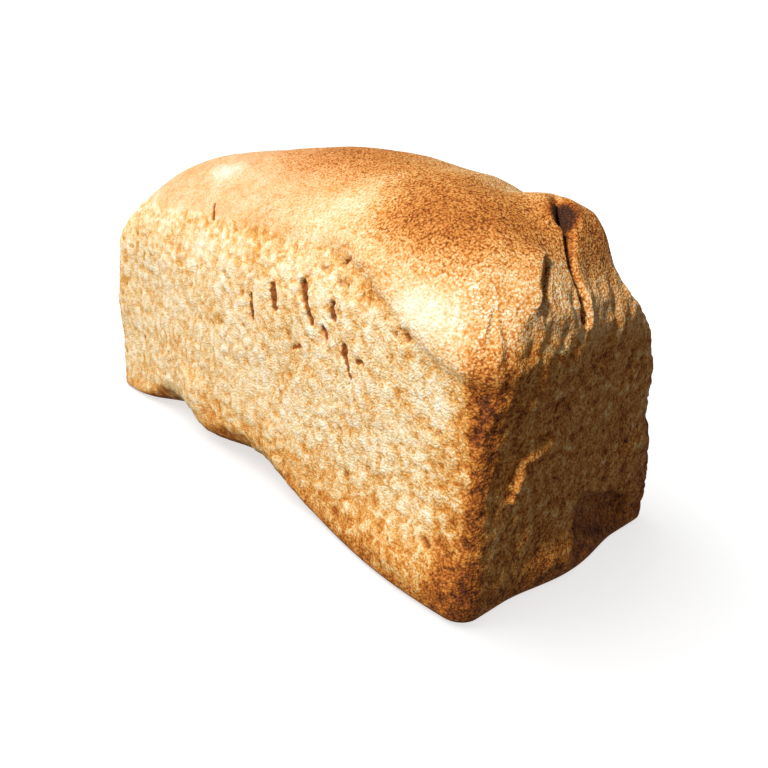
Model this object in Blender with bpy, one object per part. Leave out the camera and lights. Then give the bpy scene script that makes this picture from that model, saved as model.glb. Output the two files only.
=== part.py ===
"""A tin loaf: one bread, baked in a straight-sided tin, with a domed and folded top.

The loaf lies along X and rests on Z = 0. The end at +X carries the folds of the
dough, the long side at -Y carries the torn lip under the dome. All sizes are in
metres. The form is a cube, cut into a lattice and carried onto the loaf by one
function of the lattice position; the folds and hollows are then pressed in along
the surface normals.
"""

import math

import bmesh
import bpy
from mathutils import Vector, noise

OBJECT_NAME = "tin_loaf"
NODE_NAME = "loaf"

# Driving dimensions of the whole loaf.
LENGTH = 0.252
WIDTH = 0.110
HEIGHT = 0.131

# The tin's walls: how far they lean out, and how high the dough filled each corner.
WALL_LEAN = 0.0098
SHOULDER_FAR_FRONT = 0.079
SHOULDER_NEAR_FRONT = 0.077
SHOULDER_FAR_BACK = 0.070
SHOULDER_NEAR_BACK = 0.058

# Corner radii seen from above: at the base, at the shoulder, and high on the dome.
CORNER_BASE = 0.0065
CORNER_SHOULDER = 0.0133
CORNER_DOME = 0.0283
CORNER_STARTS = 0.57

# The dome: exponents of its arch across and along, and where its cap begins.
ARCH_POWER = 2.04
ARCH_ROOT = 2.10
RUN_POWER = 4.31
RUN_ROOT = 2.13
CAP_ANGLE = 0.9285
CAP_REACH = 0.836

# The lattice of the cube: cells along, across and up, crowded towards the folded end.
CELLS_ALONG = 42
CELLS_ACROSS = 18
CELLS_UP = 22
END_CROWDING = 0.22
WALL_CROWDING = 1.25

# The rounding of the bottom edge, larger where the dough did not reach the tin's corner.
EDGE_ROUNDING = 0.0026
NOTCH_ROUNDING = 0.015
NOTCH_LIFT = 0.0075
NOTCH_REACH = 0.034
NOTCHES = ((-0.066, 0.023, 1.05), (0.003, 0.033, 1.00))

# The base spreads out of the tin's line: (middle along the side, reach, height it dies out at, how far).
FRONT_FLARE = (0.096, 0.048, 0.024, 0.0034)
END_FLARE = (-0.002, 0.034, 0.018, 0.0036)

# The torn lip under the dome on the long front side.
LIP_HIGH = 0.104
LIP_LOW = 0.076
LIP_FALL_START = 0.045
LIP_FALL_RUN = 0.077
LIP_FROM = -0.045
LIP_GROWS_OVER = 0.020
LIP_SWELL = 0.0016
LIP_TUCK = 0.0013
LIP_BREADTH = 0.010
SWELL_ABOVE = 0.005
TUCK_BELOW = 0.007

# The hollow waist of the flat walls, and how far round a corner still counts as flat.
WALL_WAIST = 0.0014
FLAT_FROM = 0.8
FLAT_OVER = 0.2

# Folds of the near end: (points along the crease, half width, depth).
FOLDS = (
    (((0.101, 0.001, 0.1205), (0.1075, -0.005, 0.1145), (0.1165, -0.0118, 0.104), (0.123, -0.0135, 0.0905)),
     0.0056, 0.0042),
    (((0.115, -0.0235, 0.106), (0.1182, -0.033, 0.0945)), 0.0052, 0.0022),
    (((0.106, 0.015, 0.114), (0.1125, 0.0165, 0.105), (0.1175, 0.019, 0.094)), 0.0060, 0.0042),
)

# The raised wrinkle on the end face: points along it, half width and height.
WRINKLE = ((0.126, -0.039, 0.039), (0.126, -0.035, 0.050), (0.126, -0.028, 0.051), (0.126, -0.023, 0.055))
WRINKLE_HALF_WIDTH = 0.0055
WRINKLE_HEIGHT = 0.0016

# Swellings (positive) and hollows (negative): (centre, reach along X, Y, Z, height).
SWELLINGS = (
    ((0.006, 0.004, 0.131), (0.060, 0.040, 0.030), 0.0032),
    ((0.104, 0.008, 0.117), (0.028, 0.022, 0.026), 0.0052),
    ((0.112, -0.030, 0.104), (0.022, 0.018, 0.018), 0.0020),
    ((0.080, 0.006, 0.127), (0.014, 0.030, 0.020), -0.0024),
    ((0.124, 0.052, 0.060), (0.040, 0.020, 0.046), -0.0038),
    ((0.100, -0.055, 0.010), (0.034, 0.020, 0.022), 0.0022),
    ((0.126, 0.022, 0.020), (0.020, 0.026, 0.022), -0.0052),
    ((0.126, 0.036, 0.036), (0.020, 0.020, 0.012), 0.0018),
    ((0.126, -0.006, 0.006), (0.020, 0.026, 0.016), 0.0024),
    ((-0.046, -0.055, 0.022), (0.018, 0.020, 0.014), 0.0022),
    ((-0.126, -0.045, 0.060), (0.030, 0.040, 0.046), 0.0032),
    ((0.110, 0.034, 0.106), (0.026, 0.030, 0.034), -0.0046),
)

# Slow unevenness of the crust: (size of the waves, height).
UNEVENNESS = ((0.055, 0.0013), (0.022, 0.0007))
WAVE_START = (3.1, 7.7, 1.3)

# The relief fades out at the flat base, above this height and over this run.
RELIEF_FROM = 0.0003
RELIEF_OVER = 0.010

CRUST_COLOUR = (0.62, 0.36, 0.13, 1.0)
CRUST_ROUGHNESS = 0.78


def smooth(t):
    """A ramp from 0 to 1 that starts and ends level."""
    t = min(max(t, 0.0), 1.0)
    return t * t * (3.0 - 2.0 * t)


def clamp(value, limit):
    """The value, held between -limit and limit."""
    return min(max(value, -limit), limit)


def crowd(a):
    """A lattice position along the loaf, moved so that cells are finer at +X."""
    return a + END_CROWDING * (1.0 - a * a)


def shoulder_height(a, b):
    """Height of the wall's top at a place in plan, between its four corner heights."""
    near = 0.5 * (a + 1.0)
    back = 0.5 * (b + 1.0)
    front_height = SHOULDER_FAR_FRONT + (SHOULDER_NEAR_FRONT - SHOULDER_FAR_FRONT) * near
    back_height = SHOULDER_FAR_BACK + (SHOULDER_NEAR_BACK - SHOULDER_FAR_BACK) * near
    return front_height + (back_height - front_height) * back


def notch_share(x):
    """How far the front's bottom edge is short of the tin's corner, from 0 to 1."""
    return min(sum(share * math.exp(-(((x - centre) / reach) ** 2)) for centre, reach, share in NOTCHES), 1.0)


def bottom_inset(z, rounding):
    """How far the wall has drawn in at height z, on a quarter round of this radius."""
    below = max(1.0 - z / rounding, 0.0)
    return rounding * (1.0 - math.sqrt(max(1.0 - below * below, 0.0)))


def plan_point(a, b, half_length, half_width, radius):
    """A place inside a rectangle with round corners, for a and b between -1 and 1."""
    reach = max(abs(a), abs(b))
    if reach < 1e-9:
        return 0.0, 0.0
    edge_x = a / reach * half_length
    edge_y = b / reach * half_width
    core_x = clamp(edge_x, half_length - radius)
    core_y = clamp(edge_y, half_width - radius)
    out_x = edge_x - core_x
    out_y = edge_y - core_y
    out = math.hypot(out_x, out_y)
    if out > 1e-9:
        edge_x = core_x + radius * out_x / out
        edge_y = core_y + radius * out_y / out
    return reach * edge_x, reach * edge_y


def dome_share(x, y, half_length, half_width):
    """Height of the dome at a place in plan, from 0 at its edge to 1 at its crown."""
    along = min(abs(x) / half_length, 1.0)
    across = min(abs(y) / half_width, 1.0)
    run = (1.0 - along ** RUN_POWER) ** (1.0 / RUN_ROOT)
    arch = (1.0 - across ** ARCH_POWER) ** (1.0 / ARCH_ROOT)
    return run * arch * corner_share(half_length - abs(x), half_width - abs(y))


def corner_share(from_end, from_side):
    """Brings the dome down to the wall on the corner's arc; 1 away from the corners."""
    nearest = min(from_end, from_side)
    if max(from_end, from_side) > CORNER_SHOULDER or nearest < 1e-9:
        return 1.0 if nearest > 1e-9 else 0.0
    from_arc = CORNER_SHOULDER - math.hypot(CORNER_SHOULDER - from_end, CORNER_SHOULDER - from_side)
    return (max(from_arc, 0.0) / nearest) ** (1.0 / ARCH_ROOT)


def corner_radius(wall, ring):
    """Radius of the corners in plan: small at the base, growing up the wall and the dome."""
    radius = CORNER_BASE
    radius += (CORNER_SHOULDER - CORNER_BASE) * smooth((wall - CORNER_STARTS) / (1.0 - CORNER_STARTS))
    radius += (CORNER_DOME - CORNER_SHOULDER) * math.sin(ring) / math.sin(CAP_ANGLE)
    return radius


def skin_height(a, b, x, y):
    """Height of the dome's skin over a place in plan."""
    shoulder = shoulder_height(a, b)
    half_length = 0.5 * LENGTH + WALL_LEAN * shoulder
    half_width = 0.5 * WIDTH + WALL_LEAN * shoulder
    return shoulder + (HEIGHT - shoulder) * dome_share(x, y, half_length, half_width)


def base_flare(flare, along, z):
    """How far the base spreads at a place along a side and a height."""
    middle, reach, dies_out, spread = flare
    return spread * bell(along - middle, reach) * smooth(1.0 - z / dies_out)


def wall_point(a, b, wall):
    """A place on the loaf's sides or bottom; wall is 0 at the base and 1 at the shoulder."""
    z = shoulder_height(a, b) * wall
    notch = notch_share(0.5 * LENGTH * a) * smooth(-b)
    half_length = 0.5 * LENGTH + WALL_LEAN * z - bottom_inset(z, EDGE_ROUNDING)
    half_width = 0.5 * WIDTH + WALL_LEAN * z - bottom_inset(z, EDGE_ROUNDING + NOTCH_ROUNDING * notch)
    x, y = plan_point(a, b, half_length, half_width, corner_radius(wall, 0.0))
    from_front = y + 0.5 * WIDTH + z
    lift = NOTCH_LIFT * notch * max(1.0 - from_front / NOTCH_REACH, 0.0) ** 2
    y -= base_flare(FRONT_FLARE, x, z) * max(-y / half_width, 0.0)
    x += base_flare(END_FLARE, y, z) * max(x / half_length, 0.0)
    return Vector((x, y, z + lift))


def dome_point(a, b, ring):
    """A place on the dome; ring is the angle up from the shoulder, and the cap has the full angle."""
    shoulder = shoulder_height(a, b)
    along = 1.0 - (1.0 - CAP_REACH) * (1.0 - math.cos(ring)) / (1.0 - math.cos(CAP_ANGLE))
    half_length = (0.5 * LENGTH + WALL_LEAN * shoulder) * along
    half_width = (0.5 * WIDTH + WALL_LEAN * shoulder) * math.cos(ring)
    x, y = plan_point(a, b, half_length, half_width, corner_radius(1.0, ring))
    return Vector((x, y, skin_height(a, b, x, y)))


def tin_form(a, b, c):
    """Carry a lattice position of the cube, each part between -1 and 1, onto the smooth loaf."""
    if c > 0.0:
        return dome_point(crowd(a), b, CAP_ANGLE * c)
    return wall_point(crowd(a), b, (c + 1.0) ** WALL_CROWDING)


def distance_to_path(point, path):
    """Shortest distance from a point to a line through the path's points."""
    best = 1.0
    for start, end in zip(path, path[1:]):
        start = Vector(start)
        run = Vector(end) - start
        share = min(max((point - start).dot(run) / run.length_squared, 0.0), 1.0)
        best = min(best, (point - start - run * share).length)
    return best


def bell(distance, half_width):
    """1 on the line, falling smoothly to 0 at the half width."""
    return max(1.0 - (distance / half_width) ** 2, 0.0) ** 2


def swellings(point):
    """The broad swellings and hollows at a point of the skin."""
    total = 0.0
    for centre, reach, height in SWELLINGS:
        offset = point - Vector(centre)
        spread = math.sqrt(sum((offset[i] / reach[i]) ** 2 for i in range(3)))
        total += height * bell(spread, 1.0)
    return total


def folds(point):
    """The creases of the near end."""
    return -sum(depth * bell(distance_to_path(point, path), width) for path, width, depth in FOLDS)


def lip_height(x):
    """Height of the torn line under the dome: level, then falling to the near corner."""
    return LIP_HIGH - (LIP_HIGH - LIP_LOW) * smooth((x - LIP_FALL_START) / LIP_FALL_RUN)


def lip(point, normal):
    """The dome's skin swells above the torn line, and the wall is tucked in below it."""
    above = point.z - lip_height(point.x)
    side = smooth(-2.0 * normal.y) * smooth((point.x - LIP_FROM) / LIP_GROWS_OVER)
    swell = LIP_SWELL * bell(above - SWELL_ABOVE, LIP_BREADTH)
    tuck = LIP_TUCK * bell(above + TUCK_BELOW, LIP_BREADTH)
    return side * (swell - tuck)


def waist(point, normal):
    """The flat walls shrank a little as the loaf cooled."""
    flat = smooth((abs(normal.x) + abs(normal.y) - FLAT_FROM) / FLAT_OVER)
    return -WALL_WAIST * flat * math.sin(math.pi * min(point.z / LIP_HIGH, 1.0))


def unevenness(point):
    """Slow waves of the whole crust."""
    return sum(height * noise.noise(point / size + Vector(WAVE_START)) for size, height in UNEVENNESS)


def relief(point, normal):
    """How far the crust stands out from the smooth form along its normal."""
    grown = swellings(point) + folds(point) + lip(point, normal) + waist(point, normal) + unevenness(point)
    grown += WRINKLE_HEIGHT * bell(distance_to_path(point, WRINKLE), WRINKLE_HALF_WIDTH)
    return grown * smooth((point.z - RELIEF_FROM) / RELIEF_OVER)


def cut_edges(mesh, axis, cells):
    """Cut all the edges that run along one axis into this many cells."""
    edges = [
        edge for edge in mesh.edges
        if abs(edge.verts[0].co[axis] - edge.verts[1].co[axis]) > 1.0
    ]
    bmesh.ops.subdivide_edges(mesh, edges=edges, cuts=cells - 1, use_grid_fill=True)


def lattice_cube():
    """A cube from -1 to 1 whose six faces are cut into a lattice of quads."""
    mesh = bmesh.new()
    bmesh.ops.create_cube(mesh, size=2.0)
    for axis, cells in enumerate((CELLS_ALONG, CELLS_ACROSS, CELLS_UP)):
        cut_edges(mesh, axis, cells)
    return mesh


def shape_loaf(mesh):
    """Move the lattice onto the smooth loaf, then press the relief into it."""
    for vertex in mesh.verts:
        vertex.co = tin_form(*vertex.co)
    mesh.normal_update()
    steps = [vertex.normal * relief(vertex.co, vertex.normal) for vertex in mesh.verts]
    for vertex, step in zip(mesh.verts, steps):
        vertex.co += step


def crust_material():
    """Baked crust: a matt golden brown."""
    material = bpy.data.materials.new("crust")
    material.use_nodes = True
    shader = material.node_tree.nodes["Principled BSDF"]
    shader.inputs["Base Color"].default_value = CRUST_COLOUR
    shader.inputs["Roughness"].default_value = CRUST_ROUGHNESS
    shader.inputs["Metallic"].default_value = 0.0
    material.diffuse_color = CRUST_COLOUR
    return material


def build_loaf(collection):
    """The loaf, as one closed body of bread."""
    shape = lattice_cube()
    shape_loaf(shape)
    data = bpy.data.meshes.new(NODE_NAME)
    shape.to_mesh(data)
    shape.free()
    data.shade_smooth()
    data.materials.append(crust_material())
    loaf = bpy.data.objects.new(NODE_NAME, data)
    collection.objects.link(loaf)
    return loaf


def main():
    for old in list(bpy.data.objects):
        bpy.data.objects.remove(old, do_unlink=True)
    collection = bpy.data.collections.new(OBJECT_NAME)
    bpy.context.scene.collection.children.link(collection)
    build_loaf(collection)


main()
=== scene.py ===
"""Looks of the tin loaf: a baked crust with real relief, on a pale floor in soft studio light.

The crust is one fine mesh. It repeats the form of the CAD loaf, with the walls of the
tin, the dome, the folds and the notches, and adds what is finer: pores, cracks, the
torn lip and the ridges of the end. Lengths are in metres, +X is the folded end and -Y
is the long side with the lip.
"""

import math

import bmesh
import bpy
import numpy as np
from mathutils import Matrix, Vector, kdtree, noise


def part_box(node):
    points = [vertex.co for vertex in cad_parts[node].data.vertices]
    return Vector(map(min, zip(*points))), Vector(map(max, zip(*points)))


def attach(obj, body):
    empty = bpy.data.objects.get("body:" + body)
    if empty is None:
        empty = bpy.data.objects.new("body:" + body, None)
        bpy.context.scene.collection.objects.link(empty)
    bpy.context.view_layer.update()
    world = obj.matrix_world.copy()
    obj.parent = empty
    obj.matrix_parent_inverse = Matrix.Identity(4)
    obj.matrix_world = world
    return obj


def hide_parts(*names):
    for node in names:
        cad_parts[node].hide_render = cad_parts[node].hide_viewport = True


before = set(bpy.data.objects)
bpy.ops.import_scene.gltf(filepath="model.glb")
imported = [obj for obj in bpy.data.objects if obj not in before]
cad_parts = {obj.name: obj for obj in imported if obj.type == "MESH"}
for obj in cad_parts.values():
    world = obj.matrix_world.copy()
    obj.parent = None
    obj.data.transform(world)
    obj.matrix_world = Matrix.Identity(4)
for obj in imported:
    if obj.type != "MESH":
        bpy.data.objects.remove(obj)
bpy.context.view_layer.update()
loaf_low, loaf_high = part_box("loaf")

SEED = 11  # of the pores
MM = 0.001

# The loaf's driving dimensions: the CAD box, less its spreading base and its unevenness.
LENGTH = (loaf_high.x - loaf_low.x) - 6.8 * MM
WIDTH = (loaf_high.y - loaf_low.y) - 4.9 * MM
HEIGHT = (loaf_high.z - loaf_low.z) - 3.9 * MM
WALL_LEAN = 0.0098
SHOULDER_FAR_FRONT = 0.079
SHOULDER_NEAR_FRONT = 0.077
SHOULDER_FAR_BACK = 0.070
SHOULDER_NEAR_BACK = 0.058
CORNER_BASE = 0.0065
CORNER_SHOULDER = 0.0133
CORNER_DOME = 0.0283
CORNER_STARTS = 0.57
ARCH_POWER = 2.04
ARCH_ROOT = 2.10
RUN_POWER = 4.31
RUN_ROOT = 2.13
CAP_ANGLE = 0.9285
CAP_REACH = 0.836

# The fine lattice: cells along, across and up.
CELLS = (196, 88, 110)
END_CROWDING = 0.16
WALL_CROWDING = 1.06
# Share of the flat underside's triangles that is taken away.
UNDERSIDE_THINNED = 0.84

# The bottom edge.
EDGE_ROUNDING = 0.0026
NOTCH_ROUNDING = 0.015
NOTCH_LIFT = 0.0075
NOTCH_REACH = 0.034
NOTCHES = ((-0.066, 0.023, 1.05), (0.003, 0.033, 1.00))

# The base spreads out of the tin's line: (middle along the side, reach, height it dies out at, how far).
FRONT_FLARE = (0.096, 0.048, 0.024, 0.0034)
END_FLARE = (-0.002, 0.034, 0.018, 0.0036)

# The torn lip under the dome on the front.
LIP_HIGH = 0.104
LIP_LOW = 0.076
LIP_FALL_START = 0.045
LIP_FALL_RUN = 0.077
LIP_FROM = -0.045
LIP_SWELL = 0.0014
LIP_TUCK = 0.0009

# How far the walls shrank in, and where their torn crumb ends away from the front.
WALL_WAIST = 0.0014
POROUS_TOP = 0.086

# Folds of the near end: (path, half width of the crease, depth, lobe behind it, lobe before it).
FOLDS = (
    (((0.1010, 0.0010, 0.1205), (0.1075, -0.0050, 0.1145), (0.1165, -0.0118, 0.1040),
      (0.1215, -0.0130, 0.0960), (0.1230, -0.0135, 0.0905)), 0.0024, 0.0056, 0.0014, 0.0014),
    (((0.0990, 0.0025, 0.1225), (0.1060, -0.0036, 0.1160)), 0.0052, 0.0034, 0.0, 0.0),
    (((0.1150, -0.0235, 0.1060), (0.1172, -0.0290, 0.1000), (0.1182, -0.0330, 0.0945)),
     0.0028, 0.0024, 0.0, 0.0030),
    (((0.1060, 0.0150, 0.1140), (0.1125, 0.0165, 0.1050), (0.1175, 0.0190, 0.0940)),
     0.0044, 0.0052, 0.0, 0.0024),
)
LOBE_REACH = 0.011

# Cracks and holes of the front wall: (path, half width, depth).
CRACKS = (
    (((0.0375, -0.055, 0.0890), (0.0400, -0.055, 0.0845)), 0.0028, 0.0026),
    (((0.0400, -0.055, 0.0845), (0.0420, -0.055, 0.0805), (0.0445, -0.056, 0.0760)), 0.0020, 0.0022),
    (((0.0545, -0.056, 0.0850), (0.0555, -0.056, 0.0810)), 0.0025, 0.0026),
    (((0.0200, -0.056, 0.0850), (0.0215, -0.056, 0.0770)), 0.0030, 0.0012),
    (((0.0510, -0.056, 0.0760), (0.0525, -0.056, 0.0735)), 0.0017, 0.0014),
    (((0.0620, -0.056, 0.0720), (0.0630, -0.056, 0.0690)), 0.0022, 0.0017),
    (((0.0630, -0.056, 0.0690), (0.0660, -0.056, 0.0625)), 0.0015, 0.0016),
    (((0.0690, -0.056, 0.0690), (0.0720, -0.056, 0.0695)), 0.0015, 0.0010),
    (((-0.0350, -0.047, 0.1080), (-0.0320, -0.050, 0.1030)), 0.0013, 0.0015),
    (((0.0560, -0.051, 0.1000), (0.0590, -0.051, 0.1025)), 0.0014, 0.0012),
    (((0.1065, -0.056, 0.0215), (0.1085, -0.056, 0.0208)), 0.0017, 0.0021),
    (((0.0330, -0.056, 0.0640), (0.0380, -0.056, 0.0660)), 0.0013, 0.0007),
    (((0.0050, -0.056, 0.0780), (0.0060, -0.056, 0.0700)), 0.0022, 0.0009),
    (((0.1262, 0.0030, 0.0240), (0.1262, 0.0042, 0.0240)), 0.0012, 0.0010),
)

# The raised wrinkle of the end face: path, half width and height.
WRINKLE = ((0.126, -0.039, 0.039), (0.126, -0.0365, 0.0455), (0.126, -0.0345, 0.0505),
           (0.126, -0.028, 0.0515), (0.126, -0.0235, 0.0555))
WRINKLE_HALF_WIDTH = 0.0026
WRINKLE_HEIGHT = 0.0024

# Broad swellings (positive) and hollows (negative): (centre, reach along X, Y, Z, height).
SWELLINGS = (
    ((0.006, 0.004, 0.131), (0.060, 0.040, 0.030), 0.0032),
    ((0.104, 0.008, 0.117), (0.028, 0.022, 0.026), 0.0052),
    ((0.112, -0.030, 0.104), (0.022, 0.018, 0.018), 0.0020),
    ((0.080, 0.006, 0.127), (0.014, 0.030, 0.020), -0.0024),
    ((0.124, 0.052, 0.060), (0.040, 0.020, 0.046), -0.0038),
    ((0.100, -0.055, 0.010), (0.034, 0.020, 0.022), 0.0022),
    ((0.126, 0.036, 0.036), (0.020, 0.020, 0.012), 0.0018),
    ((0.126, -0.006, 0.006), (0.020, 0.026, 0.016), 0.0024),
    ((-0.046, -0.055, 0.022), (0.018, 0.020, 0.014), 0.0022),
    ((-0.126, -0.045, 0.060), (0.030, 0.040, 0.046), 0.0032),
    ((0.110, 0.034, 0.106), (0.026, 0.030, 0.034), -0.0066),
)
# The hollow low in the end: its upper edge (Y, Z), its left edge and how deep it is.
HOLLOW_TOP = ((0.0010, 0.0300), (0.0280, 0.0210))
HOLLOW_LEFT = ((-0.0060, 0.0060), (0.0010, 0.0300))
HOLLOW_BACK = 0.040
HOLLOW_DEPTH = 0.0060

# Broad unevenness of the whole crust: (size of its waves, height).
UNEVENNESS = ((0.055, 0.0013), (0.022, 0.0007))

# Lumps and clots of crumb on the walls, and the ruffles of walls and dome: (size, height).
LUMPS = (0.0034, 0.00036)
CLOTS = (0.0078, 0.00045)
WALL_RUFFLES = (0.0085, 0.00050)
DOME_RUFFLES = (0.0050, 0.00016)

# Torn flakes of the near end: where they start and stop, and the ridges' (size, height).
RIDGES_FROM = 0.078
RIDGES_TO = 0.106
RIDGES_DROP = 0.020
BROAD_RIDGES = (0.0075, 0.0022)
FINE_RIDGES = (0.0036, 0.0016)
RIDGES_LIFT = 0.0010

# Pores of the walls: how many, their radii and their depth as a share of the radius.
PORE_COUNT = 700
PORE_RADII = (0.0010, 0.0024)
PORE_DEPTH = (0.15, 0.38)

# Browning, and two paler patches of painted highlight: (centre, reach along X, Y, Z, how much darker), on a scale
# from 0 pale to 1 burnt.
BROWNING_AND_HIGHLIGHTS = (
    ((0.085, -0.026, 0.117), (0.044, 0.034, 0.025), 0.44),
    ((0.110, 0.006, 0.110), (0.022, 0.036, 0.018), 0.20),
    ((0.018, -0.010, 0.130), (0.084, 0.042, 0.020), 0.25),
    ((0.045, -0.018, 0.129), (0.040, 0.014, 0.012), 0.06),
    ((0.060, 0.030, 0.120), (0.060, 0.030, 0.024), 0.16),
    ((-0.028, -0.050, 0.010), (0.020, 0.016, 0.010), 0.20),
    ((-0.060, 0.024, 0.122), (0.050, 0.030, 0.020), 0.14),
    # The last two are paler patches, painted highlight where the light catches the crust.
    ((0.096, -0.053, 0.092), (0.022, 0.018, 0.013), -0.20),
    ((-0.048, -0.034, 0.120), (0.018, 0.010, 0.010), -0.24),
)

# The general browning: pale walls, a browner dome, chance patches, the near end, and painted shade in the creases
# of the folds.
WALL_BAKE = 0.17
DOME_BAKE = 0.15
PATCH_BAKE = 0.09
END_BAKE = 0.27
FOLD_SHADE = 0.34
LOW_EDGE_BAKE = 0.22
FAR_LOW_EDGE_BAKE = 0.14
# Above this the browning is held back, so only the scorch and the painted shade of the folds go nearly black.
HELD_ABOVE = 0.56
HELD_SHARE = 0.35

# Flour dust and painted highlight, as white specks: (centre, reach along X, Y, Z, share).
FLOUR_AND_HIGHLIGHT = (
    ((0.104, -0.047, 0.094), (0.030, 0.022, 0.016), 1.0),
    ((-0.048, -0.034, 0.120), (0.022, 0.014, 0.012), 0.7),
)

# The scorched patch at the head of the deepest fold: centre, reach and how much darker.
SCORCH = ((0.1035, -0.0015, 0.1185), (0.0080, 0.0085, 0.0080), 0.42)

# The studio: the bowl of the floor with its glow, the two lamps and the even fill.
FLAT_RADIUS = 1.6
CURVE_RADIUS = 1.8
GLOW_FROM = (0.14, 0.66)  # distance from the middle, strength
GLOW_TO = (0.40, 1.0)
LAMP_DISTANCE = 1.3
KEY_DIRECTION = (0.05, -0.74, 0.68)
KEY_SIZE = 0.20
KEY_POWER = 30.0
KEY_COLOUR = (1.0, 0.985, 0.955)
SOFTBOX_DIRECTION = (-0.35, -0.25, 0.90)
SOFTBOX_SIZE = 1.1
SOFTBOX_POWER = 8.0
WHITE = (1.0, 1.0, 1.0)
FILL = 0.25

CAMERA_AT = (0.22955, -0.19534, 0.14102)
CAMERA_AZIMUTH = 47.80
CAMERA_ELEVATION = 18.34
CAMERA_ROLL = 3.41
CAMERA_LENS = 32.14
CAMERA_SHIFT = (0.0238, -0.0322)


def smooth(t):
    """A ramp from 0 to 1 that starts and ends level."""
    t = np.clip(t, 0.0, 1.0)
    return t * t * (3.0 - 2.0 * t)


def bell(distance, half_width):
    """1 on the line, falling smoothly to 0 at the half width."""
    return np.maximum(1.0 - (distance / half_width) ** 2, 0.0) ** 2


def waves(points, size, shift=0.0):
    """Smooth noise between about -1 and 1 with waves of this size."""
    move = Vector((3.1 + shift, 7.7 - shift, 1.3 + 2.0 * shift))
    return np.array([noise.noise(Vector(point) + move) for point in (points / size).tolist()])


def ruffles(points, size, octaves, shift=0.0):
    """Noise of several sizes, each half as large and half as high as the last."""
    total = sum(waves(points, size / 2 ** i, shift + 5.0 * i) / 2 ** i for i in range(octaves))
    return total / sum(1.0 / 2 ** i for i in range(octaves))


# ---------------------------------------------------------------- the form of the loaf


def shoulder_height(a, b):
    """Height of the wall's top at a place in plan, between its four corner heights."""
    near = 0.5 * (a + 1.0)
    back = 0.5 * (b + 1.0)
    front_height = SHOULDER_FAR_FRONT + (SHOULDER_NEAR_FRONT - SHOULDER_FAR_FRONT) * near
    back_height = SHOULDER_FAR_BACK + (SHOULDER_NEAR_BACK - SHOULDER_FAR_BACK) * near
    return front_height + (back_height - front_height) * back


def notch_share(x):
    """How far the front's bottom edge is short of the tin's corner, from 0 to 1."""
    return np.minimum(sum(share * np.exp(-(((x - centre) / reach) ** 2)) for centre, reach, share in NOTCHES), 1.0)


def bottom_inset(z, rounding):
    """How far the wall has drawn in at height z, on a quarter round of this radius."""
    below = np.clip(1.0 - z / rounding, 0.0, 1.0)
    return rounding * (1.0 - np.sqrt(1.0 - below * below))


def plan_point(a, b, half_length, half_width, radius):
    """Places inside a rectangle with round corners, for a and b between -1 and 1."""
    reach = np.maximum(np.maximum(np.abs(a), np.abs(b)), 1e-9)
    edge_x = a / reach * half_length
    edge_y = b / reach * half_width
    core_x = np.clip(edge_x, -(half_length - radius), half_length - radius)
    core_y = np.clip(edge_y, -(half_width - radius), half_width - radius)
    out_x = edge_x - core_x
    out_y = edge_y - core_y
    out = np.hypot(out_x, out_y)
    outside = out > 1e-9
    out = np.where(outside, out, 1.0)
    edge_x = np.where(outside, core_x + radius * out_x / out, edge_x)
    edge_y = np.where(outside, core_y + radius * out_y / out, edge_y)
    return reach * edge_x, reach * edge_y


def corner_share(from_end, from_side):
    """Brings the dome down to the wall on the corner's arc; 1 away from the corners."""
    nearest = np.minimum(from_end, from_side)
    in_corner = np.maximum(from_end, from_side) < CORNER_SHOULDER
    from_arc = CORNER_SHOULDER - np.hypot(CORNER_SHOULDER - from_end, CORNER_SHOULDER - from_side)
    # Between the end and the side the nearer distance is rounded off, so the corner has no seam.
    round_off = np.maximum(CORNER_SHOULDER - np.maximum(from_end, from_side), 1e-9)
    beside = np.maximum(1.0 - np.abs(from_end - from_side) / round_off, 0.0)
    rounded = nearest - 0.25 * round_off * beside ** 2
    share = (np.maximum(from_arc, 0.0) / np.maximum(rounded, 1e-9)) ** (1.0 / ARCH_ROOT)
    return np.where(nearest < 1e-9, 0.0, np.where(in_corner, share, 1.0))


def dome_share(x, y, half_length, half_width):
    """Height of the dome at a place in plan, from 0 at its edge to 1 at its crown."""
    along = np.minimum(np.abs(x) / half_length, 1.0)
    across = np.minimum(np.abs(y) / half_width, 1.0)
    run = (1.0 - along ** RUN_POWER) ** (1.0 / RUN_ROOT)
    arch = (1.0 - across ** ARCH_POWER) ** (1.0 / ARCH_ROOT)
    return run * arch * corner_share(half_length - np.abs(x), half_width - np.abs(y))


def corner_radius(wall, ring):
    """Radius of the corners in plan: small at the base, growing up the wall and the dome."""
    radius = CORNER_BASE
    radius += (CORNER_SHOULDER - CORNER_BASE) * smooth((wall - CORNER_STARTS) / (1.0 - CORNER_STARTS))
    return radius + (CORNER_DOME - CORNER_SHOULDER) * np.sin(ring) / math.sin(CAP_ANGLE)


def base_flare(flare, along, z):
    """How far the base spreads at a place along a side and a height."""
    middle, reach, dies_out, spread = flare
    return spread * bell(along - middle, reach) * smooth(1.0 - z / dies_out)


def wall_points(a, b, wall):
    """Places on the loaf's sides and bottom; wall is 0 at the base and 1 at the shoulder."""
    z = shoulder_height(a, b) * wall
    notch = notch_share(0.5 * LENGTH * a) * smooth(-b)
    half_length = 0.5 * LENGTH + WALL_LEAN * z - bottom_inset(z, EDGE_ROUNDING)
    half_width = 0.5 * WIDTH + WALL_LEAN * z - bottom_inset(z, EDGE_ROUNDING + NOTCH_ROUNDING * notch)
    x, y = plan_point(a, b, half_length, half_width, corner_radius(wall, 0.0))
    from_front = y + 0.5 * WIDTH + z
    lift = NOTCH_LIFT * notch * np.maximum(1.0 - from_front / NOTCH_REACH, 0.0) ** 2
    y = y - base_flare(FRONT_FLARE, x, z) * np.maximum(-y / half_width, 0.0)
    x = x + base_flare(END_FLARE, y, z) * np.maximum(x / half_length, 0.0)
    return np.stack([x, y, z + lift], -1)


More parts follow.
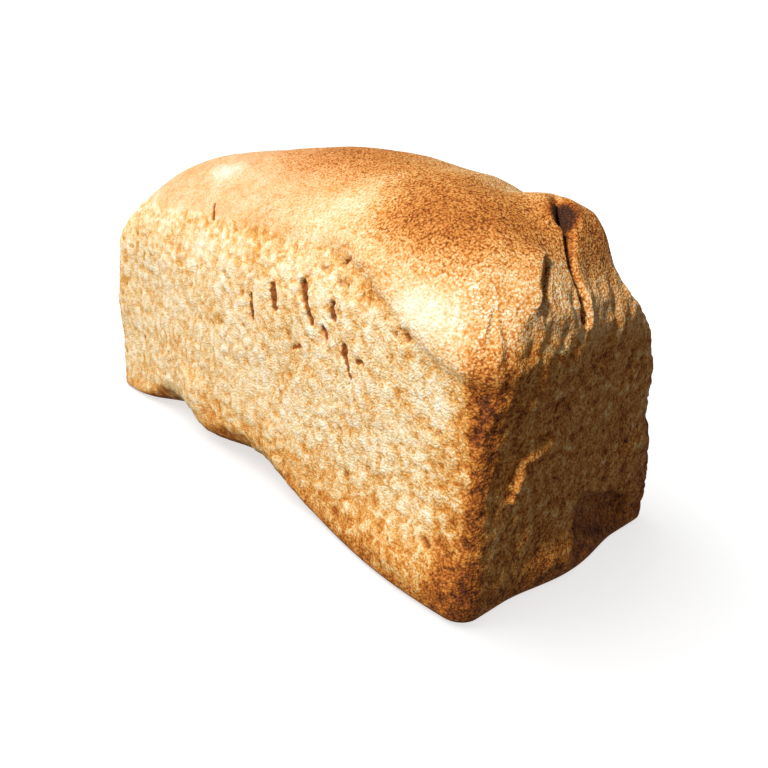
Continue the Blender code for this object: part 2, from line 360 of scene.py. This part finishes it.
def dome_points(a, b, ring):
    """Places on the dome; ring is the angle up from the shoulder, and the cap has the full angle."""
    shoulder = shoulder_height(a, b)
    half_length = 0.5 * LENGTH + WALL_LEAN * shoulder
    half_width = 0.5 * WIDTH + WALL_LEAN * shoulder
    along = 1.0 - (1.0 - CAP_REACH) * (1.0 - np.cos(ring)) / (1.0 - math.cos(CAP_ANGLE))
    x, y = plan_point(a, b, half_length * along, half_width * np.cos(ring), corner_radius(1.0, ring))
    z = shoulder + (HEIGHT - shoulder) * dome_share(x, y, half_length, half_width)
    return np.stack([x, y, z], -1)


def tin_form(lattice):
    """Carry lattice positions of the cube, each part between -1 and 1, onto the smooth loaf."""
    a, b, c = lattice.T
    a = a + END_CROWDING * (1.0 - a * a)
    walls = wall_points(a, b, np.clip(c + 1.0, 0.0, 1.0) ** WALL_CROWDING)
    dome = dome_points(a, b, CAP_ANGLE * np.clip(c, 0.0, 1.0))
    return np.where((c > 0.0)[:, None], dome, walls)


# ---------------------------------------------------------------- the relief of the crust


def path_offsets(points, path):
    """For each point, the distance to a path, and the run and offset at the nearest place."""
    best = np.full(len(points), 1.0)
    run_there = np.zeros_like(points)
    offset_there = np.zeros_like(points)
    for start, end in zip(path, path[1:]):
        start = np.array(start)
        run = np.array(end) - start
        share = np.clip((points - start) @ run / (run @ run), 0.0, 1.0)
        offset = points - start - share[:, None] * run
        distance = np.linalg.norm(offset, axis=1)
        nearer = distance < best
        best = np.where(nearer, distance, best)
        run_there[nearer] = run / np.linalg.norm(run)
        offset_there[nearer] = offset[nearer]
    return best, run_there, offset_there


def path_distance(points, path):
    """Shortest distance from each point to a path."""
    return path_offsets(points, path)[0]


def swellings(points):
    """The broad swellings and hollows."""
    total = np.zeros(len(points))
    for centre, reach, height in SWELLINGS:
        total += height * bell(np.linalg.norm((points - centre) / reach, axis=1), 1.0)
    return total


def inside_line(y, z, line):
    """How far places in the end's plane lie to the right of a line."""
    (start_y, start_z), (end_y, end_z) = line
    run_y = end_y - start_y
    run_z = end_z - start_z
    return ((y - start_y) * run_z - (z - start_z) * run_y) / math.hypot(run_y, run_z)


def hollow(points, normals):
    """Share of the hollow low in the near end, where the loaf caught on its tin."""
    x, y, z = points.T
    ragged = 0.0016 * ruffles(points, 0.008, 2, 81.0)
    below = inside_line(y, z, HOLLOW_TOP) + ragged
    right = inside_line(y, z, HOLLOW_LEFT) + ragged
    front = smooth(below / 0.0028) * smooth(right / 0.0060) * smooth((HOLLOW_BACK - y) / 0.010)
    return front * smooth(normals[:, 0] * 4.0 - 2.0) * (0.45 + 0.55 * smooth(z / 0.026))


def lip_height(x):
    """Height of the torn line under the dome: level, then falling to the near corner."""
    return LIP_HIGH - (LIP_HIGH - LIP_LOW) * smooth((x - LIP_FALL_START) / LIP_FALL_RUN)


def front_share(normals):
    """1 on the long front side, 0 elsewhere."""
    return smooth(-normals[:, 1] * 2.0)


def lip(points, normals):
    """The dome's skin rolls over the torn line, and the wall is tucked in below it."""
    ragged = 0.0030 * ruffles(points, 0.012, 4, 2.0)
    above = points[:, 2] - lip_height(points[:, 0]) + ragged
    side = front_share(normals) * smooth((points[:, 0] - LIP_FROM) / 0.030)
    side = side * (0.45 + 0.75 * smooth(waves(points, 0.020, 6.0) + 0.5))
    swell = LIP_SWELL * bell(above - 0.005, 0.010)
    tuck = LIP_TUCK * smooth(-above / 0.0050 + 0.5) * np.exp(np.minimum(above, 0.0) / 0.009)
    return side * (swell - tuck)


def waist(points, normals):
    """The flat walls shrank a little as the loaf cooled."""
    flat = smooth((np.abs(normals[:, 0]) + np.abs(normals[:, 1]) - 0.8) * 5.0)
    return -WALL_WAIST * flat * np.sin(math.pi * np.minimum(points[:, 2] / LIP_HIGH, 1.0))


def folds(points, normals):
    """The creases of the near end, each with a lobe of dough rolled up beside it, and the share of painted shade in
    each crease.
    """
    height = np.zeros(len(points))
    shade_share = np.zeros(len(points))
    for path, half_width, depth, behind, before in FOLDS:
        distance, run, offset = path_offsets(points, path)
        side = np.einsum("ij,ij->i", np.cross(normals, run), offset)
        side = side / np.maximum(distance, 1e-6)
        lobe = np.where(side > 0.0, behind, before) * bell(distance, LOBE_REACH) * smooth(np.abs(side) * 2.0)
        crease = bell(distance, half_width)
        height += lobe - depth * crease
        shade_share += crease
    return height, np.minimum(shade_share, 1.0)


def cracks(points):
    """The cracks and holes of the front wall, and the share of painted shade in them."""
    height = np.zeros(len(points))
    shade_share = np.zeros(len(points))
    wobble = 1.0 + 0.35 * waves(points, 0.0016, 9.0)
    for path, half_width, depth in CRACKS:
        inside = bell(path_distance(points, path) * wobble, half_width)
        height -= depth * inside
        shade_share = np.maximum(shade_share, smooth(1.8 * inside))
    return height, shade_share


def porous_share(points, normals):
    """1 on the torn, porous walls and 0 on the smooth dome."""
    on_front = smooth((-normals[:, 1] - 0.15) / 0.5)
    top = POROUS_TOP + (lip_height(points[:, 0]) - POROUS_TOP) * on_front
    edge = top - points[:, 2] + 0.004 * ruffles(points, 0.014, 3, 4.0)
    return smooth(edge / 0.006 + 0.5) * smooth(points[:, 2] / 0.006)


def pores(points, porous):
    """Small open pores, gathered in loose clusters."""
    random = np.random.default_rng(SEED)
    clusters = smooth(ruffles(points, 0.030, 2, 7.0) * 1.6 + 0.5)
    weight = porous * (0.15 + clusters)
    centres = random.choice(len(points), PORE_COUNT, replace=False, p=weight / weight.sum())
    radii = random.uniform(0.0, 1.0, PORE_COUNT) ** 2.2 * (PORE_RADII[1] - PORE_RADII[0]) + PORE_RADII[0]
    depths = radii * random.uniform(*PORE_DEPTH, PORE_COUNT)
    tree = kdtree.KDTree(len(points))
    for index, point in enumerate(points):
        tree.insert(point, index)
    tree.balance()
    height = np.zeros(len(points))
    wobble = 1.0 + 0.5 * ruffles(points, 0.0024, 2, 61.0)
    for centre, radius, depth in zip(centres, radii, depths):
        for _, index, distance in tree.find_range(points[centre], 1.4 * radius):
            inside = 1.0 - (distance * wobble[index] / radius) ** 2
            height[index] = min(height[index], -depth * max(inside, 0.0))
    return height


def crumb_cells(points, size):
    """0 in the crevices between lumps of crumb and 1 on the lumps."""
    swirl = np.stack([waves(points, 2.2 * size, shift) for shift in (11.0, 17.0, 23.0)], -1)
    places = (points / size + 0.55 * swirl).tolist()
    gaps = np.empty(len(places))
    for index, place in enumerate(places):
        near = noise.voronoi(Vector(place))[0]
        gaps[index] = near[1] - near[0]
    return smooth(gaps / 0.42)


def end_ridges(points, normals):
    """Torn flakes on the upper part of the near end, drawn out upright."""
    edge = points[:, 2] - RIDGES_FROM + RIDGES_DROP * smooth(-points[:, 1] / 0.040)
    edge += 0.006 * waves(points, 0.02, 33.0)
    zone = smooth(normals[:, 0] * 2.5 - 1.1) * smooth(edge / 0.012)
    zone = zone * smooth((RIDGES_TO - points[:, 2]) / 0.014)
    leaning = points.copy()
    leaning[:, 1] = points[:, 1] - 0.35 * points[:, 2]
    drawn = leaning * (1.0, 1.0, 0.40)
    broad_size, broad_height = BROAD_RIDGES
    fine_size, fine_height = FINE_RIDGES
    ridge = 1.0 - 2.2 * np.sqrt(ruffles(drawn, broad_size, 3, 31.0) ** 2 + 0.02)
    return zone * (RIDGES_LIFT + broad_height * ridge + fine_height * ruffles(drawn, fine_size, 2, 35.0))


def crust_relief(points, normals):
    """How far the crust stands out along its normal, and the fields that colour it, among them painted shade in the
    crevices, pores and cracks.
    """
    porous = porous_share(points, normals)
    fold_height, fold_shade = folds(points, normals)
    crack_height, crack_shade = cracks(points)
    pore_height = pores(points, porous)
    lumps = crumb_cells(points, LUMPS[0])
    clots = crumb_cells(points, CLOTS[0])
    broad = sum(height * waves(points, size) for size, height in UNEVENNESS)
    height = swellings(points) + lip(points, normals) + waist(points, normals) + broad
    uneven = 1.0 + 0.4 * waves(points, 0.004, 71.0)
    height += WRINKLE_HEIGHT * bell(path_distance(points, WRINKLE) * uneven, WRINKLE_HALF_WIDTH)
    height += fold_height + crack_height + end_ridges(points, normals)
    height -= HOLLOW_DEPTH * hollow(points, normals)
    height += pore_height
    height += LUMPS[1] * porous * (lumps - 0.7)
    height += CLOTS[1] * porous * (clots - 0.7)
    height += WALL_RUFFLES[1] * porous * ruffles(points, WALL_RUFFLES[0], 3, 41.0)
    height += DOME_RUFFLES[1] * (1.0 - porous) * ruffles(points, DOME_RUFFLES[0], 2, 43.0)
    # Painted shade: the crevices between lumps, the pores and the cracks, to be coloured darker.
    crevice_shade = porous * (0.30 * (1.0 - lumps) + 0.28 * (1.0 - clots))
    crevice_shade = crevice_shade + 0.55 * np.clip(-pore_height / 0.0009, 0.0, 1.0)
    crevice_shade = np.clip(np.maximum(crevice_shade, crack_shade), 0.0, 1.0)
    rise = smooth((points[:, 2] - 0.0003) / 0.010)
    return height * rise, porous, crevice_shade, fold_shade


def browning_and_painted_light(points, normals, porous, fold_shade):
    """How dark the crust is, from 0 pale to 1 burnt: its browning, with painted shade in the folds, under the lip
    and in the end's hollow, and painted highlight in two pale patches.
    """
    x, y, z = points.T
    front = front_share(normals)
    near = smooth(normals[:, 0] * 2.0)
    patches = ruffles(points, 0.030, 3, 51.0)
    bake_and_painted_light = WALL_BAKE + DOME_BAKE * (1.0 - porous) + PATCH_BAKE * patches
    for centre, reach, amount in BROWNING_AND_HIGHLIGHTS:
        bake_and_painted_light += amount * bell(np.linalg.norm((points - centre) / reach, axis=1), 1.0)
    low = np.exp(-z / 0.0085) * (1.0 + 0.5 * patches)
    bake_and_painted_light += np.where(x > -0.05, LOW_EDGE_BAKE, FAR_LOW_EDGE_BAKE) * low
    bake_and_painted_light += 0.13 * front * smooth((0.040 - z) / 0.040) * smooth((x + 0.06) / 0.05)
    corner = smooth((x - 0.104) / 0.016) * smooth((0.090 - z) / 0.026)
    bake_and_painted_light += 0.22 * corner * front
    bake_and_painted_light += near * (END_BAKE - 0.22 * smooth((z - 0.076) / 0.016))
    back_corner = smooth((np.abs(x) - 0.112) / 0.012) * smooth((y - 0.040) / 0.012)
    bake_and_painted_light += 0.16 * back_corner
    # Painted shade in the hollow of the end, darkest along its rim, where its relief would throw shade.
    scooped = hollow(points, normals)
    bake_and_painted_light += 0.02 * scooped + 0.60 * scooped * (1.0 - scooped)
    # Painted shade: a brown band just under the torn lip, where the dome's edge overhangs.
    under_lip_shade = bell(z - lip_height(x) + 0.002, 0.006) * smooth((x + 0.060) / 0.030)
    bake_and_painted_light += 0.10 * under_lip_shade * front * porous
    bake_and_painted_light = np.minimum(bake_and_painted_light, HELD_ABOVE + HELD_SHARE * (bake_and_painted_light - HELD_ABOVE))
    centre, reach, amount = SCORCH
    bake_and_painted_light += amount * bell(np.linalg.norm((points - centre) / reach, axis=1), 1.0)
    # Painted shade in the creases of the folds.
    bake_and_painted_light += FOLD_SHADE * fold_shade
    return np.clip(bake_and_painted_light, 0.0, 1.0)


def flour_and_highlight_share(points):
    """Where the crust shows white specks: a dusting of flour and painted highlight on pale blisters."""
    total = np.zeros(len(points))
    for centre, reach, share in FLOUR_AND_HIGHLIGHT:
        total += share * bell(np.linalg.norm((points - centre) / reach, axis=1), 1.0)
    return np.clip(total, 0.0, 1.0)


# ---------------------------------------------------------------- the crust's mesh


def cut_edges(mesh, axis, cells):
    """Cut all the edges that run along one axis into this many cells."""
    edges = [
        edge for edge in mesh.edges
        if abs(edge.verts[0].co[axis] - edge.verts[1].co[axis]) > 1.0
    ]
    bmesh.ops.subdivide_edges(mesh, edges=edges, cuts=cells - 1, use_grid_fill=True)


def lattice_cube():
    """A cube from -1 to 1 whose six faces are cut into a fine lattice of quads."""
    mesh = bmesh.new()
    bmesh.ops.create_cube(mesh, size=2.0)
    for axis, cells in enumerate(CELLS):
        cut_edges(mesh, axis, cells)
    return mesh


def lattice_positions(mesh):
    """The lattice positions of a bmesh's vertices, as an array."""
    return np.array([vertex.co[:] for vertex in mesh.verts])


def refine(mesh):
    """Halve the cells beside the folds, the cracks and the wrinkle."""
    mesh.verts.index_update()
    points = tin_form(lattice_positions(mesh))
    close = np.zeros(len(points), bool)
    for path, *_ in FOLDS:
        close |= path_distance(points, path) < 0.0058
    for path, half_width, _ in CRACKS:
        close |= path_distance(points, path) < half_width + 0.0016
    close |= path_distance(points, WRINKLE) < 0.0040
    edges = [edge for edge in mesh.edges if close[edge.verts[0].index] and close[edge.verts[1].index]]
    bmesh.ops.subdivide_edges(mesh, edges=edges, cuts=1, use_grid_fill=True)


# Where each face of the cube lies in the unit square: its axis and sign, to the chart's corner
# and size.
CHARTS = {
    (1, -1): (0.010, 0.010, 0.640, 0.345),
    (0, 1): (0.660, 0.010, 0.280, 0.345),
    (1, 1): (0.010, 0.365, 0.640, 0.345),
    (0, -1): (0.660, 0.365, 0.280, 0.345),
    (2, 1): (0.010, 0.720, 0.560, 0.245),
    (2, -1): (0.585, 0.720, 0.380, 0.170),
}


def add_charts(mesh):
    """Lay each face of the cube out as a rectangle of the map named OFBake."""
    layer = mesh.loops.layers.uv.new("OFBake")
    for face in mesh.faces:
        middle = face.calc_center_median()
        axis = max(range(3), key=lambda i: abs(middle[i]))
        left, bottom, width, tall = CHARTS[(axis, 1 if middle[axis] > 0.0 else -1)]
        across, up = ((1, 2), (0, 2), (0, 1))[axis]
        for loop in face.loops:
            place = loop.vert.co
            loop[layer].uv = (left + width * 0.5 * (place[across] + 1.0), bottom + tall * 0.5 * (place[up] + 1.0))


def store(data, name, values):
    """Keep a value for each vertex under this name."""
    data.attributes.new(name, "FLOAT", "POINT").data.foreach_set("value", values.astype(np.float32))


def thin_underside(crust, bottom):
    """Thin the flat underside, whose lattice carries no relief."""
    group = crust.vertex_groups.new(name="underside")
    group.add(np.flatnonzero(bottom).tolist(), 1.0, "REPLACE")
    thinner = crust.modifiers.new("thin underside", "DECIMATE")
    thinner.vertex_group = group.name
    faces = len(crust.data.polygons)
    under = 2 * CELLS[0] * CELLS[1]
    thinner.ratio = 1.0 - UNDERSIDE_THINNED * under / (2 * faces)
    evaluated = crust.evaluated_get(bpy.context.evaluated_depsgraph_get())
    thinned = bpy.data.meshes.new_from_object(evaluated)
    crust.modifiers.clear()
    crust.vertex_groups.clear()
    crust.data = thinned


def build_crust(material):
    """The loaf's visible crust as one closed mesh."""
    mesh = lattice_cube()
    refine(mesh)
    add_charts(mesh)
    lattice = lattice_positions(mesh)
    data = bpy.data.meshes.new("crust")
    mesh.to_mesh(data)
    mesh.free()
    points = tin_form(lattice)
    data.vertices.foreach_set("co", points.astype(np.float32).ravel())
    data.update()
    normals = np.empty(len(points) * 3, np.float32)
    data.vertex_normals.foreach_get("vector", normals)
    normals = normals.reshape(-1, 3).astype(float)
    height, porous, crevice_shade, fold_shade = crust_relief(points, normals)
    shaped = points + normals * height[:, None]
    shaped[:, 2] = np.maximum(shaped[:, 2], loaf_low.z)
    data.vertices.foreach_set("co", shaped.astype(np.float32).ravel())
    store(data, "bake_and_painted_light", browning_and_painted_light(points, normals, porous, fold_shade))
    store(data, "porous", porous)
    store(data, "crevice_shade", crevice_shade)
    store(data, "flour_and_highlight", flour_and_highlight_share(points))
    store(data, "plum", hollow(points, normals))
    store(data, "grain", smooth((points[:, 0] + 0.02) / 0.08))
    data.update()
    crust = bpy.data.objects.new("crust", data)
    bpy.context.scene.collection.objects.link(crust)
    bottom = (lattice[:, 2] < -0.999) & (np.abs(lattice[:, 0]) < 0.97) & (np.abs(lattice[:, 1] - 0.2) < 0.75)
    thin_underside(crust, bottom)
    crust.data.name = "crust"
    crust.data.materials.clear()
    crust.data.materials.append(material)
    crust.data.shade_smooth()
    return crust


# ---------------------------------------------------------------- materials


def linear(tone, share=1.0):
    """A colour given as it looks, from 0 to 255, as the light it reflects."""
    parts = [value / 255.0 for value in tone]
    parts = [p / 12.92 if p <= 0.04045 else ((p + 0.055) / 1.055) ** 2.4 for p in parts]
    return tuple(share * p for p in parts) + (1.0,)


class Graph:
    """Small helpers to wire a material's nodes."""

    def __init__(self, name):
        self.material = bpy.data.materials.new(name)
        self.material.use_nodes = True
        self.tree = self.material.node_tree
        self.shader = self.tree.nodes["Principled BSDF"]

    def node(self, kind, **settings):
        made = self.tree.nodes.new(kind)
        for name, value in settings.items():
            setattr(made, name, value)
        return made

    def link(self, source, target):
        if isinstance(source, (int, float, tuple)):
            target.default_value = source
        else:
            self.tree.links.new(source, target)

    def attribute(self, name):
        return self.node("ShaderNodeAttribute", attribute_name=name).outputs["Fac"]

    def maths(self, operation, *terms, clamp=False):
        made = self.node("ShaderNodeMath", operation=operation, use_clamp=clamp)
        for index, term in enumerate(terms):
            self.link(term, made.inputs[index])
        return made.outputs[0]

    def blend(self, share, low, high):
        """Mix two colours."""
        made = self.node("ShaderNodeMix", data_type="RGBA")
        self.link(share, made.inputs["Factor"])
        self.link(low, made.inputs[6])
        self.link(high, made.inputs[7])
        return made.outputs[2]

    def noise(self, where, size, detail=3.0, rough=0.55, twist=0.0):
        made = self.node("ShaderNodeTexNoise")
        self.link(where, made.inputs["Vector"])
        made.inputs["Scale"].default_value = 1.0 / size
        made.inputs["Detail"].default_value = detail
        made.inputs["Roughness"].default_value = rough
        made.inputs["Distortion"].default_value = twist
        return made

    def cells(self, where, size):
        made = self.node("ShaderNodeTexVoronoi", feature="F1")
        self.link(where, made.inputs["Vector"])
        made.inputs["Scale"].default_value = 1.0 / size
        return made

    def ramp(self, value, low, high, to_low=0.0, to_high=1.0):
        """Stretch a range of values onto another, with soft ends."""
        made = self.node("ShaderNodeMapRange", interpolation_type="SMOOTHSTEP")
        names = ("Value", "From Min", "From Max", "To Min", "To Max")
        for name, term in zip(names, (value, low, high, to_low, to_high)):
            self.link(term, made.inputs[name])
        return made.outputs["Result"]

    def colours(self, value, stops):
        made = self.node("ShaderNodeValToRGB")
        self.link(value, made.inputs["Fac"])
        elements = made.color_ramp.elements
        for _ in range(len(stops) - len(elements)):
            elements.new(0.5)
        for element, (position, colour) in zip(elements, stops):
            element.position = position
            element.color = colour
        return made.outputs["Color"]


# Colours of the crust by how far it is baked, as they look in full light.
BAKED_TONES = (
    (0.00, (255, 248, 230)),
    (0.14, (253, 235, 203)),
    (0.28, (242, 208, 154)),
    (0.42, (226, 166, 88)),
    (0.56, (203, 126, 46)),
    (0.70, (162, 88, 26)),
    (0.85, (102, 52, 20)),
    (1.00, (58, 29, 12)),
)
LIT_SHARE = 0.70
BLUSH_TONE = (240, 160, 128)
# Painted shade of the deep cracks and pores.
CRACK_SHADE_TONE = (138, 68, 22)
HOLLOW_TONE = (140, 92, 70)
# Flour dust and painted highlight, kept brighter than the lit crust.
FLOUR_AND_HIGHLIGHT_TONE = (255, 248, 234)
FLOUR_AND_HIGHLIGHT_LIT_SHARE = 0.86

# Sizes in the crust's grain, from blisters to clouds of tone, and how high the grain stands.
BLISTER_SIZE = 0.00085
SPECK_SIZE = 0.0011
LUMP_SIZE = 0.0036
CLOUD_SIZE = 0.016
WARP_SIZE = 0.0022
WARP_REACH = 0.0011
GRAIN_HEIGHT = 0.00034


def crust_material():
    """Baked crust: fine blistered grain, porous walls, browned dome and edges, with painted shade in its crevices,
    cracks and folds and painted highlight in white specks.
    """
    g = Graph("crust")
    where = g.node("ShaderNodeTexCoord").outputs["Object"]
    bake_and_painted_light = g.attribute("bake_and_painted_light")
    porous = g.attribute("porous")
    crevice_shade = g.attribute("crevice_shade")
    warp = g.noise(where, WARP_SIZE, 2.0)
    shift = g.node("ShaderNodeVectorMath", operation="MULTIPLY_ADD")
    g.link(warp.outputs["Color"], shift.inputs[0])
    shift.inputs[1].default_value = (WARP_REACH,) * 3
    g.link(where, shift.inputs[2])
    warped = shift.outputs[0]
    grain = g.cells(warped, BLISTER_SIZE).outputs["Distance"]
    fine = g.noise(where, SPECK_SIZE, 4.0, 0.62).outputs["Fac"]
    medium = g.noise(where, LUMP_SIZE, 4.0, 0.60, 0.4).outputs["Fac"]
    broad = g.noise(where, CLOUD_SIZE, 4.0, 0.55).outputs["Fac"]
    # Grain height: 1 on the tops of the blisters and lumps, 0 in the gaps between them.
    tops = g.ramp(grain, 0.72, 0.30)
    height = g.maths("MULTIPLY_ADD", tops, 0.55, g.maths("MULTIPLY", fine, 0.45))
    # The gaps between blisters are darker than their tops, most of all where the dome is brown.
    gaps = g.maths("MULTIPLY_ADD", tops, -1.0, g.maths("MULTIPLY_ADD", fine, -1.4, 1.40), clamp=True)
    contrast = g.maths("MULTIPLY_ADD", g.ramp(bake_and_painted_light, 0.22, 0.55), 0.28, 0.10)
    near_half = g.maths("MULTIPLY_ADD", g.attribute("grain"), 0.50, 0.15)
    skin = g.maths("SUBTRACT", 1.0, porous)
    contrast = g.maths("MULTIPLY", contrast, g.maths("MAXIMUM", skin, near_half))
    mottle = g.maths("MULTIPLY", g.maths("SUBTRACT", gaps, 0.28), contrast)
    # Crumb: pale lumps with tan crevices.
    loose = g.ramp(porous, 0.0, 1.0, 0.34, 0.80)
    lump = g.maths("MULTIPLY", g.maths("SUBTRACT", 0.5, medium), loose)
    speck = g.maths("MULTIPLY", g.maths("SUBTRACT", 0.5, fine), g.maths("MULTIPLY_ADD", near_half, 0.8, 0.15))
    patch = g.maths("MULTIPLY", g.maths("SUBTRACT", 0.5, broad), 0.26)
    varied = g.maths("ADD", mottle, g.maths("ADD", lump, g.maths("ADD", speck, patch)))
    level = g.maths("MULTIPLY_ADD", varied, g.ramp(bake_and_painted_light, 0.35, 0.85, 1.0, 0.55), bake_and_painted_light)
    # Painted shade: darker in the crevices, the pores and the cracks.
    level = g.maths("MULTIPLY_ADD", crevice_shade, 0.32, level, clamp=True)
    stops = tuple((position, linear(tone, LIT_SHARE)) for position, tone in BAKED_TONES)
    colour = g.colours(level, stops)
    far_skin = g.maths("MULTIPLY", skin, g.ramp(g.attribute("grain"), 0.0, 1.0, 1.0, 0.30))
    blush = g.maths("MULTIPLY", far_skin, g.ramp(level, 0.34, 0.72, 0.30, 0.0))
    colour = g.blend(blush, colour, linear(BLUSH_TONE, LIT_SHARE))
    # Painted shade: deep cracks and pores take a warm dark brown, for the shade and the warm bounced light inside
    # them.
    colour = g.blend(g.ramp(crevice_shade, 0.50, 1.0, 0.0, 0.9), colour, linear(CRACK_SHADE_TONE, LIT_SHARE))
    # Flour dust and painted highlight: white specks on the tops of pale blisters near the shoulder.
    flour_and_highlight_specks = g.maths("MULTIPLY", g.attribute("flour_and_highlight"), g.ramp(medium, 0.46, 0.60))
    flour_and_highlight_specks = g.maths("MULTIPLY", flour_and_highlight_specks, g.ramp(height, 0.50, 0.85, 0.0, 0.8))
    colour = g.blend(flour_and_highlight_specks, colour, linear(FLOUR_AND_HIGHLIGHT_TONE, FLOUR_AND_HIGHLIGHT_LIT_SHARE))
    # A darker greyish brown mottled into the hollow of the end.
    hollow_patch = g.maths("MULTIPLY", g.attribute("plum"), g.ramp(medium, 0.36, 0.62))
    colour = g.blend(g.maths("MULTIPLY", hollow_patch, 0.45), colour, linear(HOLLOW_TONE, LIT_SHARE))
    g.link(colour, g.shader.inputs["Base Color"])
    g.link(g.ramp(height, 0.2, 0.8, 0.82, 0.62), g.shader.inputs["Roughness"])
    g.shader.inputs["IOR"].default_value = 1.42
    g.shader.inputs["Specular IOR Level"].default_value = 0.22
    g.shader.inputs["Subsurface Weight"].default_value = 0.30
    g.shader.inputs["Subsurface Radius"].default_value = (1.0, 0.42, 0.18)
    g.shader.inputs["Subsurface Scale"].default_value = 0.0016
    swell = g.maths("MULTIPLY_ADD", medium, 1.1, height)
    bump = g.node("ShaderNodeBump")
    bump.inputs["Strength"].default_value = 1.0
    bump.inputs["Distance"].default_value = GRAIN_HEIGHT
    g.link(swell, bump.inputs["Height"])
    g.link(bump.outputs["Normal"], g.shader.inputs["Normal"])
    return g.material


def floor_material():
    """Plain pale studio floor that glows of itself, a painted light that is dimmer near the loaf, as painted shade
    round it, and brighter away from it.
    """
    g = Graph("floor")
    g.shader.inputs["Base Color"].default_value = (0.80, 0.80, 0.80, 1.0)
    g.shader.inputs["Roughness"].default_value = 0.9
    g.shader.inputs["Specular IOR Level"].default_value = 0.0
    where = g.node("ShaderNodeTexCoord").outputs["Object"]
    length = g.node("ShaderNodeVectorMath", operation="LENGTH")
    g.link(where, length.inputs[0])
    # Painted light: the floor's own glow, weaker near the loaf where it stands in for shade.
    glow = g.ramp(length.outputs["Value"], GLOW_FROM[0], GLOW_TO[0], GLOW_FROM[1], GLOW_TO[1])
    g.shader.inputs["Emission Color"].default_value = (1.0, 1.0, 1.0, 1.0)
    g.link(glow, g.shader.inputs["Emission Strength"])
    return g.material


# ---------------------------------------------------------------- stage, light and camera


def build_floor():
    """A round studio floor that curves up into a wall all round."""
    profile = [(0.0, 0.0), (FLAT_RADIUS, 0.0)]
    for step in range(1, 13):
        angle = math.pi / 2 * step / 12
        profile.append((
            FLAT_RADIUS + CURVE_RADIUS * math.sin(angle),
            CURVE_RADIUS * (1.0 - math.cos(angle)),
        ))
    mesh = bmesh.new()
    line = [mesh.verts.new((radius, 0.0, height)) for radius, height in profile]
    edges = [mesh.edges.new(pair) for pair in zip(line, line[1:])]
    bmesh.ops.spin(mesh, geom=line + edges, cent=(0.0, 0.0, 0.0), axis=(0.0, 0.0, 1.0), angle=2 * math.pi, steps=48)
    bmesh.ops.remove_doubles(mesh, verts=mesh.verts, dist=1e-5)
    bmesh.ops.recalc_face_normals(mesh, faces=mesh.faces)
    data = bpy.data.meshes.new("floor")
    mesh.to_mesh(data)
    mesh.free()
    data.materials.append(floor_material())
    data.shade_smooth()
    floor = bpy.data.objects.new("floor", data)
    floor.location.z = loaf_low.z
    floor.visible_diffuse = False
    floor.visible_glossy = False
    floor.visible_shadow = False
    bpy.context.scene.collection.objects.link(floor)
    return floor


def add_area_light(name, direction, size, power, colour, receiver):
    """A square soft light that faces the middle of the loaf and lights one object."""
    light = bpy.data.lights.new(name, "AREA")
    light.size = size
    light.energy = power
    light.color = colour
    lamp = bpy.data.objects.new(name, light)
    aim = Vector(direction).normalized()
    middle = (loaf_low + loaf_high) / 2
    lamp.location = middle + aim * LAMP_DISTANCE
    lamp.rotation_euler = aim.to_track_quat("Z", "Y").to_euler()
    bpy.context.scene.collection.objects.link(lamp)
    lit = bpy.data.collections.new("lit by " + name)
    lit.objects.link(receiver)
    lamp.light_linking.receiver_collection = lit


def build_lights(crust, floor):
    """A key from the front and above, a softbox over the floor, and a weak even fill."""
    add_area_light("key", KEY_DIRECTION, KEY_SIZE, KEY_POWER, KEY_COLOUR, crust)
    add_area_light("softbox", SOFTBOX_DIRECTION, SOFTBOX_SIZE, SOFTBOX_POWER, WHITE, floor)
    world = bpy.data.worlds.new("fill")
    world.use_nodes = True
    background = world.node_tree.nodes["Background"]
    background.inputs["Color"].default_value = (1.0, 1.0, 1.0, 1.0)
    background.inputs["Strength"].default_value = FILL
    bpy.context.scene.world = world
    bpy.context.scene.view_settings.view_transform = "Standard"


def build_camera():
    """The view from the near front corner, a little above the loaf."""
    azimuth, elevation, roll = (math.radians(v) for v in (CAMERA_AZIMUTH, CAMERA_ELEVATION, CAMERA_ROLL))
    back = Vector((
        math.sin(azimuth) * math.cos(elevation),
        -math.cos(azimuth) * math.cos(elevation),
        math.sin(elevation),
    ))
    right = Vector((math.cos(azimuth), math.sin(azimuth), 0.0))
    up = back.cross(right)
    turned_right = math.cos(roll) * right + math.sin(roll) * up
    turned_up = -math.sin(roll) * right + math.cos(roll) * up
    lens = bpy.data.cameras.new("camera")
    lens.lens = CAMERA_LENS
    lens.sensor_width = 36.0
    lens.shift_x, lens.shift_y = CAMERA_SHIFT
    lens.clip_start = 0.01
    camera = bpy.data.objects.new("camera", lens)
    turn = Matrix((turned_right, turned_up, back)).transposed()
    camera.matrix_world = Matrix.Translation(CAMERA_AT) @ turn.to_4x4()
    bpy.context.scene.collection.objects.link(camera)
    bpy.context.scene.camera = camera


def main():
    crust = build_crust(crust_material())
    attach(crust, "root")
    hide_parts("loaf")
    build_lights(crust, build_floor())
    build_camera()


main()
